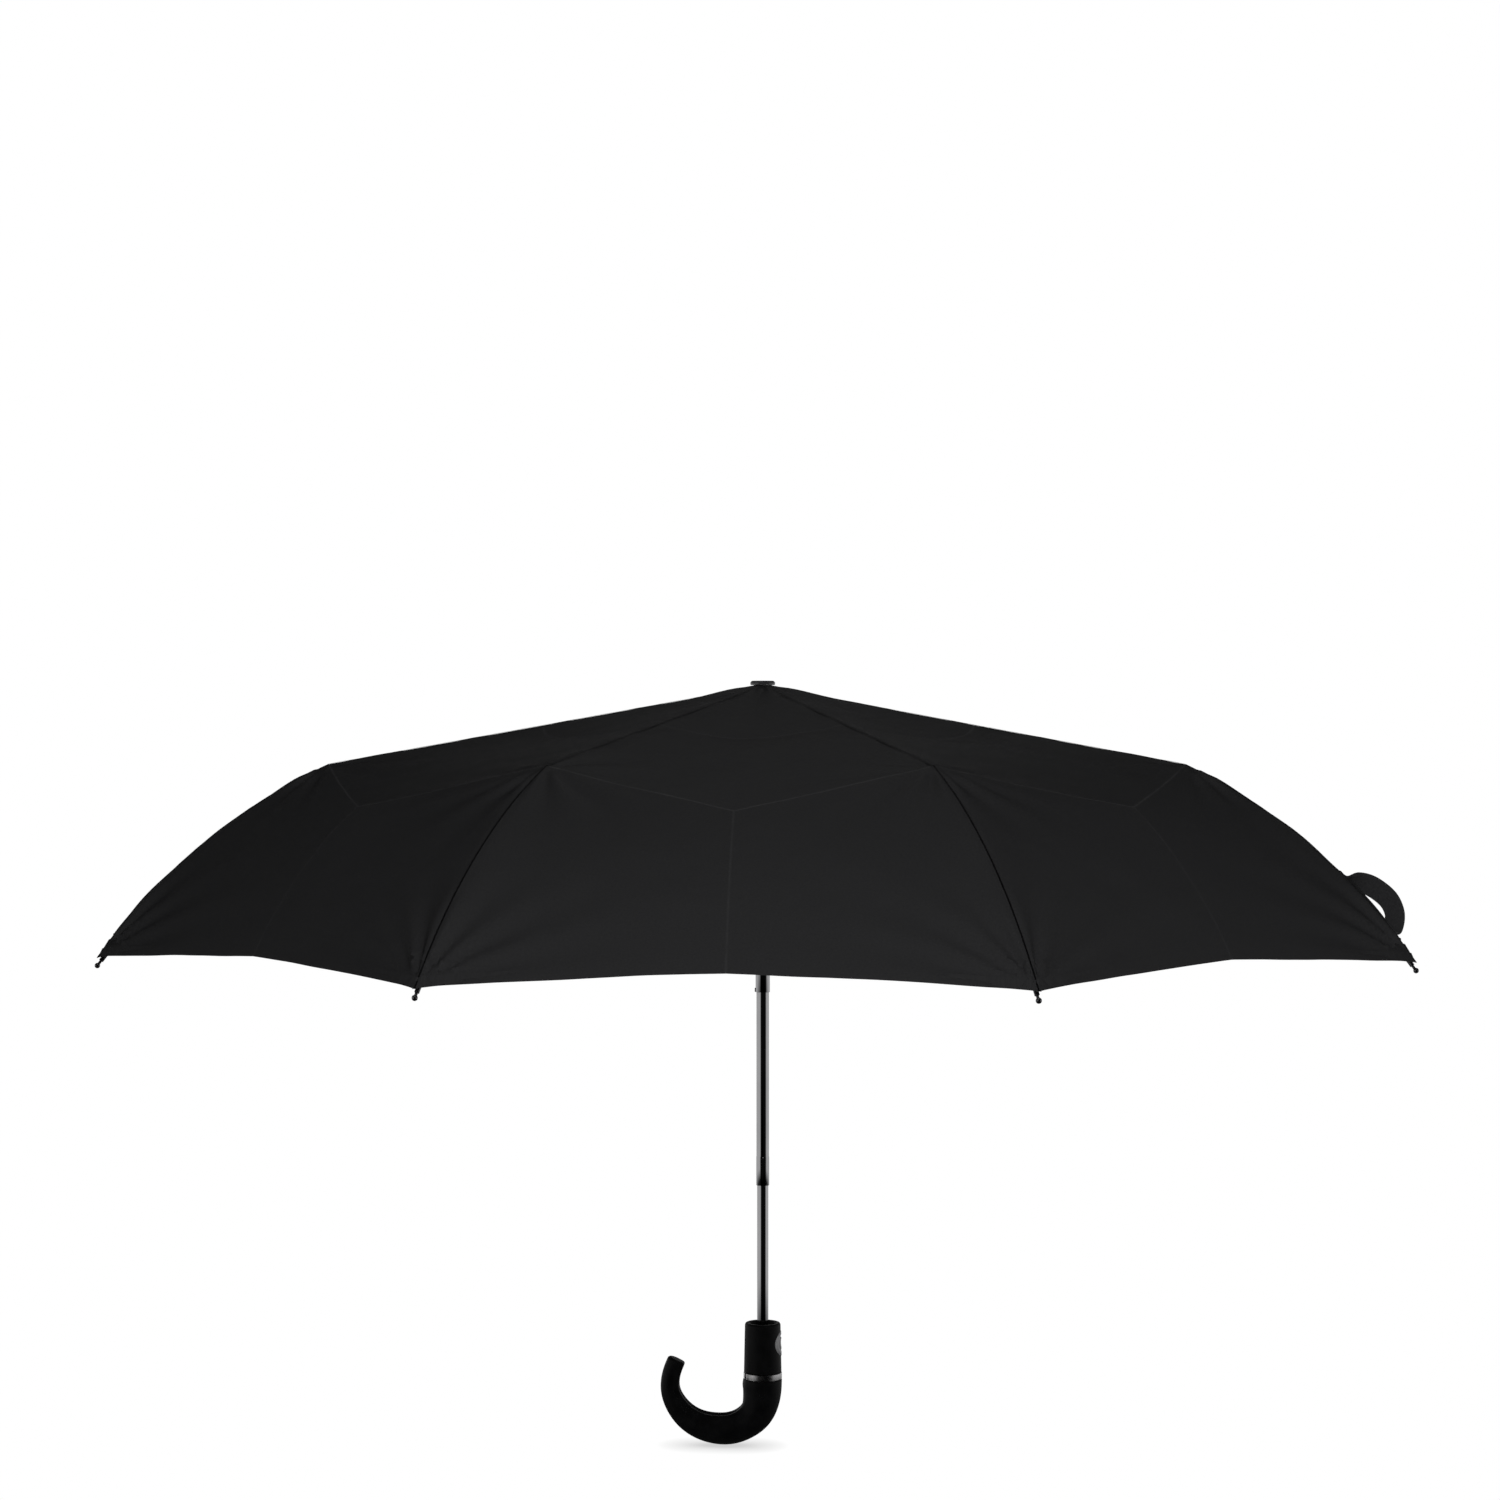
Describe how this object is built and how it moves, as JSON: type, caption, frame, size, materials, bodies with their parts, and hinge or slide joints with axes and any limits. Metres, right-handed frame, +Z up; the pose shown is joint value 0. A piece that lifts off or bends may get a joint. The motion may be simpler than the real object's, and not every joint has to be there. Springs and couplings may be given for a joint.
{
  "type": "folding umbrella",
  "caption": "Folding umbrella with a telescopic shaft, hinged folding ribs, a black cloth canopy, a push-button release and a crook handle.",
  "frame": {"origin": "on the shaft's axis, where the top face of the crook handle meets the trim ring", "axes": "+Z up the shaft to the crown, the crook bends to -X, the release button faces +X"},
  "size_m": [0.9086, 0.9086, 0.57],
  "materials": {
    "tube_metal": "dark chrome plated steel tube, polished",
    "bright_metal": "nickel plated steel, bright",
    "rib_metal": "black painted pressed steel",
    "rib_fibre": "black glass fibre rod with steel end fittings",
    "fabric": "black pongee cloth, fine plain weave",
    "soft_touch": "soft touch rubberised black plastic",
    "cap_plastic": "glossy black moulded plastic",
    "hub_plastic": "black moulded nylon",
    "pewter": "satin pewter plated ring",
    "button_grey": "satin silver grey moulded plastic",
    "spring_steel": "bare spring steel"
  },
  "bodies": {
    "handle": {"inner_tube": "tube_metal", "crook_handle": "soft_touch", "handle_collar": "soft_touch", "trim_ring": "pewter", "handle_pin": "bright_metal", "drive_spring": "spring_steel", "button_spring": "spring_steel"},
    "release_button": {"button": "button_grey", "latch_slider": "hub_plastic"},
    "middle_shaft": {"middle_tube": "tube_metal"},
    "outer_shaft": {"outer_tube": "tube_metal", "crown": "hub_plastic", "crown_wire": "spring_steel", "crown_cap": "cap_plastic", "canopy": "fabric"},
    "runner": {"runner": "hub_plastic", "runner_wire": "spring_steel"},
    "top_rib_1": {"top_rib_1": "rib_metal"},
    "stretcher_1": {"stretcher_1": "rib_metal"},
    "connecting_rod_1": {"connecting_rod_1": "bright_metal"},
    "middle_rib_1": {"middle_rib_1": "rib_metal"},
    "outer_rib_1": {"outer_rib_1": "rib_fibre"},
    "top_rib_2": {"top_rib_2": "rib_metal"},
    "stretcher_2": {"stretcher_2": "rib_metal"},
    "connecting_rod_2": {"connecting_rod_2": "bright_metal"},
    "middle_rib_2": {"middle_rib_2": "rib_metal"},
    "outer_rib_2": {"outer_rib_2": "rib_fibre"},
    "top_rib_3": {"top_rib_3": "rib_metal"},
    "stretcher_3": {"stretcher_3": "rib_metal"},
    "connecting_rod_3": {"connecting_rod_3": "bright_metal"},
    "middle_rib_3": {"middle_rib_3": "rib_metal"},
    "outer_rib_3": {"outer_rib_3": "rib_fibre"},
    "top_rib_4": {"top_rib_4": "rib_metal"},
    "stretcher_4": {"stretcher_4": "rib_metal"},
    "connecting_rod_4": {"connecting_rod_4": "bright_metal"},
    "middle_rib_4": {"middle_rib_4": "rib_metal"},
    "outer_rib_4": {"outer_rib_4": "rib_fibre"},
    "top_rib_5": {"top_rib_5": "rib_metal"},
    "stretcher_5": {"stretcher_5": "rib_metal"},
    "connecting_rod_5": {"connecting_rod_5": "bright_metal"},
    "middle_rib_5": {"middle_rib_5": "rib_metal"},
    "outer_rib_5": {"outer_rib_5": "rib_fibre"},
    "top_rib_6": {"top_rib_6": "rib_metal"},
    "stretcher_6": {"stretcher_6": "rib_metal"},
    "connecting_rod_6": {"connecting_rod_6": "bright_metal"},
    "middle_rib_6": {"middle_rib_6": "rib_metal"},
    "outer_rib_6": {"outer_rib_6": "rib_fibre"},
    "top_rib_7": {"top_rib_7": "rib_metal"},
    "stretcher_7": {"stretcher_7": "rib_metal"},
    "connecting_rod_7": {"connecting_rod_7": "bright_metal"},
    "middle_rib_7": {"middle_rib_7": "rib_metal"},
    "outer_rib_7": {"outer_rib_7": "rib_fibre"},
    "top_rib_8": {"top_rib_8": "rib_metal"},
    "stretcher_8": {"stretcher_8": "rib_metal"},
    "connecting_rod_8": {"connecting_rod_8": "bright_metal"},
    "middle_rib_8": {"middle_rib_8": "rib_metal"},
    "outer_rib_8": {"outer_rib_8": "rib_fibre", "closure_strap": "fabric", "strap_fastener": "fabric"}
  },
  "joints": [
    {"name": "button_press", "type": "slide", "parent": "handle", "child": "release_button", "axis": [-1, 0, 0], "range_m": [0, 0.0025], "stiffness_N_per_m": 400, "springref_m": -0.002, "deforming": ["button_spring"]},
    {"name": "middle_tube_slide", "type": "slide", "parent": "handle", "child": "middle_shaft", "axis": [0, 0, 1], "range_m": [-0.101, 0]},
    {"name": "outer_tube_slide", "type": "slide", "parent": "middle_shaft", "child": "outer_shaft", "axis": [0, 0, 1], "range_m": [-0.143, 0], "deforming": ["drive_spring"]},
    {"name": "canopy_fold", "type": "hinge", "parent": "outer_shaft", "child": "top_rib_1", "pos_m": [0.00702, 0.00291, 0.5109], "axis": [-0.3827, 0.9239, 0], "range_deg": [0, 77.5], "deforming": ["canopy"]},
    {"name": "top_rib_2_fold", "type": "hinge", "parent": "outer_shaft", "child": "top_rib_2", "pos_m": [0.00291, 0.00702, 0.5109], "axis": [-0.9239, 0.3827, 0], "range_deg": [0, 77.51]},
    {"name": "top_rib_3_fold", "type": "hinge", "parent": "outer_shaft", "child": "top_rib_3", "pos_m": [-0.00291, 0.00702, 0.5109], "axis": [-0.9239, -0.3827, 0], "range_deg": [0, 77.51]},
    {"name": "top_rib_4_fold", "type": "hinge", "parent": "outer_shaft", "child": "top_rib_4", "pos_m": [-0.00702, 0.00291, 0.5109], "axis": [-0.3827, -0.9239, 0], "range_deg": [0, 77.51]},
    {"name": "top_rib_5_fold", "type": "hinge", "parent": "outer_shaft", "child": "top_rib_5", "pos_m": [-0.00702, -0.00291, 0.5109], "axis": [0.3827, -0.9239, 0], "range_deg": [0, 77.51]},
    {"name": "top_rib_6_fold", "type": "hinge", "parent": "outer_shaft", "child": "top_rib_6", "pos_m": [-0.00291, -0.00702, 0.5109], "axis": [0.9239, -0.3827, 0], "range_deg": [0, 77.51]},
    {"name": "top_rib_7_fold", "type": "hinge", "parent": "outer_shaft", "child": "top_rib_7", "pos_m": [0.00291, -0.00702, 0.5109], "axis": [0.9239, 0.3827, 0], "range_deg": [0, 77.51]},
    {"name": "top_rib_8_fold", "type": "hinge", "parent": "outer_shaft", "child": "top_rib_8", "pos_m": [0.00702, -0.00291, 0.5109], "axis": [0.3827, 0.9239, 0], "range_deg": [0, 77.51]},
    {"name": "stretcher_1_swing", "type": "hinge", "parent": "top_rib_1", "child": "stretcher_1", "pos_m": [0.09751, 0.04039, 0.49051], "axis": [-0.3827, 0.9239, 0], "range_deg": [-155.01, 0]},
    {"name": "connecting_rod_1_swing", "type": "hinge", "parent": "stretcher_1", "child": "connecting_rod_1", "pos_m": [0.08666, 0.0359, 0.48807], "axis": [-0.3827, 0.9239, 0], "range_deg": [0, 148.12]},
    {"name": "middle_rib_1_fold", "type": "hinge", "parent": "top_rib_1", "child": "middle_rib_1", "pos_m": [0.1556, 0.06445, 0.48426], "axis": [-0.3827, 0.9239, 0], "range_deg": [-175.84, 0]},
    {"name": "outer_rib_1_fold", "type": "hinge", "parent": "middle_rib_1", "child": "outer_rib_1", "pos_m": [0.30145, 0.12487, 0.45245], "axis": [-0.3827, 0.9239, 0], "range_deg": [0, 147.84]},
    {"name": "stretcher_2_swing", "type": "hinge", "parent": "top_rib_2", "child": "stretcher_2", "pos_m": [0.04039, 0.09751, 0.49051], "axis": [-0.9239, 0.3827, 0], "range_deg": [-155.01, 0]},
    {"name": "connecting_rod_2_swing", "type": "hinge", "parent": "stretcher_2", "child": "connecting_rod_2", "pos_m": [0.0359, 0.08666, 0.48807], "axis": [-0.9239, 0.3827, 0], "range_deg": [0, 148.12]},
    {"name": "middle_rib_2_fold", "type": "hinge", "parent": "top_rib_2", "child": "middle_rib_2", "pos_m": [0.06445, 0.1556, 0.48426], "axis": [-0.9239, 0.3827, 0], "range_deg": [-175.84, 0]},
    {"name": "outer_rib_2_fold", "type": "hinge", "parent": "middle_rib_2", "child": "outer_rib_2", "pos_m": [0.12487, 0.30145, 0.45245], "axis": [-0.9239, 0.3827, 0], "range_deg": [0, 147.84]},
    {"name": "stretcher_3_swing", "type": "hinge", "parent": "top_rib_3", "child": "stretcher_3", "pos_m": [-0.04039, 0.09751, 0.49051], "axis": [-0.9239, -0.3827, 0], "range_deg": [-155.01, 0]},
    {"name": "connecting_rod_3_swing", "type": "hinge", "parent": "stretcher_3", "child": "connecting_rod_3", "pos_m": [-0.0359, 0.08666, 0.48807], "axis": [-0.9239, -0.3827, 0], "range_deg": [0, 148.12]},
    {"name": "middle_rib_3_fold", "type": "hinge", "parent": "top_rib_3", "child": "middle_rib_3", "pos_m": [-0.06445, 0.1556, 0.48426], "axis": [-0.9239, -0.3827, 0], "range_deg": [-175.84, 0]},
    {"name": "outer_rib_3_fold", "type": "hinge", "parent": "middle_rib_3", "child": "outer_rib_3", "pos_m": [-0.12487, 0.30145, 0.45245], "axis": [-0.9239, -0.3827, 0], "range_deg": [0, 147.84]},
    {"name": "stretcher_4_swing", "type": "hinge", "parent": "top_rib_4", "child": "stretcher_4", "pos_m": [-0.09751, 0.04039, 0.49051], "axis": [-0.3827, -0.9239, 0], "range_deg": [-155.01, 0]},
    {"name": "connecting_rod_4_swing", "type": "hinge", "parent": "stretcher_4", "child": "connecting_rod_4", "pos_m": [-0.08666, 0.0359, 0.48807], "axis": [-0.3827, -0.9239, 0], "range_deg": [0, 148.12]},
    {"name": "middle_rib_4_fold", "type": "hinge", "parent": "top_rib_4", "child": "middle_rib_4", "pos_m": [-0.1556, 0.06445, 0.48426], "axis": [-0.3827, -0.9239, 0], "range_deg": [-175.84, 0]},
    {"name": "outer_rib_4_fold", "type": "hinge", "parent": "middle_rib_4", "child": "outer_rib_4", "pos_m": [-0.30145, 0.12487, 0.45245], "axis": [-0.3827, -0.9239, 0], "range_deg": [0, 147.84]},
    {"name": "stretcher_5_swing", "type": "hinge", "parent": "top_rib_5", "child": "stretcher_5", "pos_m": [-0.09751, -0.04039, 0.49051], "axis": [0.3827, -0.9239, 0], "range_deg": [-155.01, 0]},
    {"name": "connecting_rod_5_swing", "type": "hinge", "parent": "stretcher_5", "child": "connecting_rod_5", "pos_m": [-0.08666, -0.0359, 0.48807], "axis": [0.3827, -0.9239, 0], "range_deg": [0, 148.12]},
    {"name": "middle_rib_5_fold", "type": "hinge", "parent": "top_rib_5", "child": "middle_rib_5", "pos_m": [-0.1556, -0.06445, 0.48426], "axis": [0.3827, -0.9239, 0], "range_deg": [-175.84, 0]},
    {"name": "outer_rib_5_fold", "type": "hinge", "parent": "middle_rib_5", "child": "outer_rib_5", "pos_m": [-0.30145, -0.12487, 0.45245], "axis": [0.3827, -0.9239, 0], "range_deg": [0, 147.84]},
    {"name": "stretcher_6_swing", "type": "hinge", "parent": "top_rib_6", "child": "stretcher_6", "pos_m": [-0.04039, -0.09751, 0.49051], "axis": [0.9239, -0.3827, 0], "range_deg": [-155.01, 0]},
    {"name": "connecting_rod_6_swing", "type": "hinge", "parent": "stretcher_6", "child": "connecting_rod_6", "pos_m": [-0.0359, -0.08666, 0.48807], "axis": [0.9239, -0.3827, 0], "range_deg": [0, 148.12]},
    {"name": "middle_rib_6_fold", "type": "hinge", "parent": "top_rib_6", "child": "middle_rib_6", "pos_m": [-0.06445, -0.1556, 0.48426], "axis": [0.9239, -0.3827, 0], "range_deg": [-175.84, 0]},
    {"name": "outer_rib_6_fold", "type": "hinge", "parent": "middle_rib_6", "child": "outer_rib_6", "pos_m": [-0.12487, -0.30145, 0.45245], "axis": [0.9239, -0.3827, 0], "range_deg": [0, 147.84]},
    {"name": "stretcher_7_swing", "type": "hinge", "parent": "top_rib_7", "child": "stretcher_7", "pos_m": [0.04039, -0.09751, 0.49051], "axis": [0.9239, 0.3827, 0], "range_deg": [-155.01, 0]},
    {"name": "connecting_rod_7_swing", "type": "hinge", "parent": "stretcher_7", "child": "connecting_rod_7", "pos_m": [0.0359, -0.08666, 0.48807], "axis": [0.9239, 0.3827, 0], "range_deg": [0, 148.12]},
    {"name": "middle_rib_7_fold", "type": "hinge", "parent": "top_rib_7", "child": "middle_rib_7", "pos_m": [0.06445, -0.1556, 0.48426], "axis": [0.9239, 0.3827, 0], "range_deg": [-175.84, 0]},
    {"name": "outer_rib_7_fold", "type": "hinge", "parent": "middle_rib_7", "child": "outer_rib_7", "pos_m": [0.12487, -0.30145, 0.45245], "axis": [0.9239, 0.3827, 0], "range_deg": [0, 147.84]},
    {"name": "stretcher_8_swing", "type": "hinge", "parent": "top_rib_8", "child": "stretcher_8", "pos_m": [0.09751, -0.04039, 0.49051], "axis": [0.3827, 0.9239, 0], "range_deg": [-155.01, 0]},
    {"name": "connecting_rod_8_swing", "type": "hinge", "parent": "stretcher_8", "child": "connecting_rod_8", "pos_m": [0.08666, -0.0359, 0.48807], "axis": [0.3827, 0.9239, 0], "range_deg": [0, 148.12]},
    {"name": "middle_rib_8_fold", "type": "hinge", "parent": "top_rib_8", "child": "middle_rib_8", "pos_m": [0.1556, -0.06445, 0.48426], "axis": [0.3827, 0.9239, 0], "range_deg": [-175.84, 0]},
    {"name": "outer_rib_8_fold", "type": "hinge", "parent": "middle_rib_8", "child": "outer_rib_8", "pos_m": [0.30145, -0.12487, 0.45245], "axis": [0.3827, 0.9239, 0], "range_deg": [0, 147.84]},
    {"name": "runner_slide", "type": "hinge", "parent": "stretcher_1", "child": "runner", "pos_m": [0.00702, 0.00291, 0.47013], "axis": [-0.3827, 0.9239, 0], "range_deg": [0, 77.51]}
  ],
  "couplings": [
    {"joint": "top_rib_2_fold", "follows": "canopy_fold", "ratio": 1},
    {"joint": "top_rib_3_fold", "follows": "canopy_fold", "ratio": 1},
    {"joint": "top_rib_4_fold", "follows": "canopy_fold", "ratio": 1},
    {"joint": "top_rib_5_fold", "follows": "canopy_fold", "ratio": 1},
    {"joint": "top_rib_6_fold", "follows": "canopy_fold", "ratio": 1},
    {"joint": "top_rib_7_fold", "follows": "canopy_fold", "ratio": 1},
    {"joint": "top_rib_8_fold", "follows": "canopy_fold", "ratio": 1},
    {"joint": "stretcher_1_swing", "follows": "canopy_fold", "ratio": -2},
    {"joint": "connecting_rod_1_swing", "follows": "canopy_fold", "ratio": 1.911},
    {"joint": "middle_rib_1_fold", "follows": "canopy_fold", "ratio": -2.2688},
    {"joint": "outer_rib_1_fold", "follows": "canopy_fold", "ratio": 1.9075},
    {"joint": "stretcher_2_swing", "follows": "canopy_fold", "ratio": -2},
    {"joint": "connecting_rod_2_swing", "follows": "canopy_fold", "ratio": 1.911},
    {"joint": "middle_rib_2_fold", "follows": "canopy_fold", "ratio": -2.2688},
    {"joint": "outer_rib_2_fold", "follows": "canopy_fold", "ratio": 1.9075},
    {"joint": "stretcher_3_swing", "follows": "canopy_fold", "ratio": -2},
    {"joint": "connecting_rod_3_swing", "follows": "canopy_fold", "ratio": 1.911},
    {"joint": "middle_rib_3_fold", "follows": "canopy_fold", "ratio": -2.2688},
    {"joint": "outer_rib_3_fold", "follows": "canopy_fold", "ratio": 1.9075},
    {"joint": "stretcher_4_swing", "follows": "canopy_fold", "ratio": -2},
    {"joint": "connecting_rod_4_swing", "follows": "canopy_fold", "ratio": 1.911},
    {"joint": "middle_rib_4_fold", "follows": "canopy_fold", "ratio": -2.2688},
    {"joint": "outer_rib_4_fold", "follows": "canopy_fold", "ratio": 1.9075},
    {"joint": "stretcher_5_swing", "follows": "canopy_fold", "ratio": -2},
    {"joint": "connecting_rod_5_swing", "follows": "canopy_fold", "ratio": 1.911},
    {"joint": "middle_rib_5_fold", "follows": "canopy_fold", "ratio": -2.2688},
    {"joint": "outer_rib_5_fold", "follows": "canopy_fold", "ratio": 1.9075},
    {"joint": "stretcher_6_swing", "follows": "canopy_fold", "ratio": -2},
    {"joint": "connecting_rod_6_swing", "follows": "canopy_fold", "ratio": 1.911},
    {"joint": "middle_rib_6_fold", "follows": "canopy_fold", "ratio": -2.2688},
    {"joint": "outer_rib_6_fold", "follows": "canopy_fold", "ratio": 1.9075},
    {"joint": "stretcher_7_swing", "follows": "canopy_fold", "ratio": -2},
    {"joint": "connecting_rod_7_swing", "follows": "canopy_fold", "ratio": 1.911},
    {"joint": "middle_rib_7_fold", "follows": "canopy_fold", "ratio": -2.2688},
    {"joint": "outer_rib_7_fold", "follows": "canopy_fold", "ratio": 1.9075},
    {"joint": "stretcher_8_swing", "follows": "canopy_fold", "ratio": -2},
    {"joint": "connecting_rod_8_swing", "follows": "canopy_fold", "ratio": 1.911},
    {"joint": "middle_rib_8_fold", "follows": "canopy_fold", "ratio": -2.2688},
    {"joint": "outer_rib_8_fold", "follows": "canopy_fold", "ratio": 1.9075},
    {"joint": "runner_slide", "follows": "canopy_fold", "ratio": 1}
  ]
}
